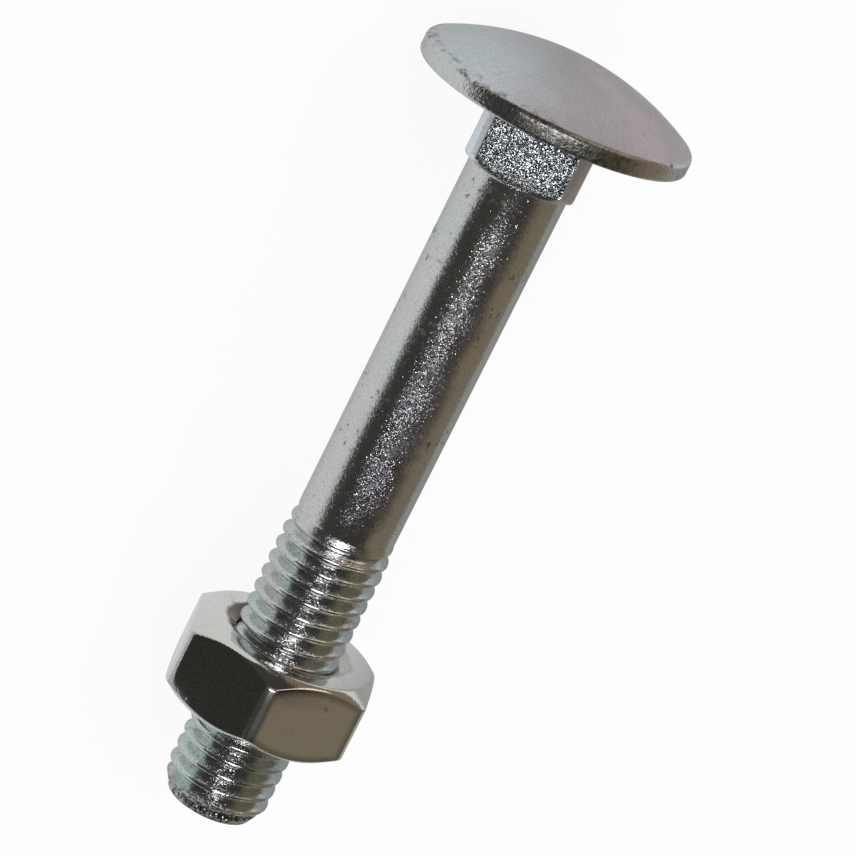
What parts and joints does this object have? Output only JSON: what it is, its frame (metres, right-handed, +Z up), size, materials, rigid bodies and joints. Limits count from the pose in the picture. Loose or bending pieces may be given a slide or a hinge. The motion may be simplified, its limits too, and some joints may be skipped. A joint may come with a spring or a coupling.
{
  "type": "carriage bolt",
  "caption": "Zinc-plated steel carriage bolt with a domed head, a square neck, a plain shank and a right-hand thread that carries a hex nut.",
  "frame": {"origin": "centre of the face under the head, on the bolt's axis", "axes": "+X from the head to the threaded end, seen from above; +Z up from the surface that the bolt lies on. The bolt's own axis slopes 3.7 degrees down towards +X, because it rests on the rim of its head and on one flat of its nut"},
  "size_m": [0.0753, 0.0248, 0.0249],
  "materials": {
    "zinc_plated_bolt": "bright zinc plate, satin, finely pitted",
    "zinc_plated_nut": "bright zinc plate, satin, fine drawn grain on the flats"
  },
  "bodies": {
    "bolt": {"bolt": "zinc_plated_bolt"},
    "nut": {"nut": "zinc_plated_nut"}
  },
  "joints": [
    {"name": "nut_travel", "type": "slide", "parent": "bolt", "child": "nut", "axis": [0.9979, 0, -0.0647], "range_m": [-0.009, 0.0165]}
  ]
}
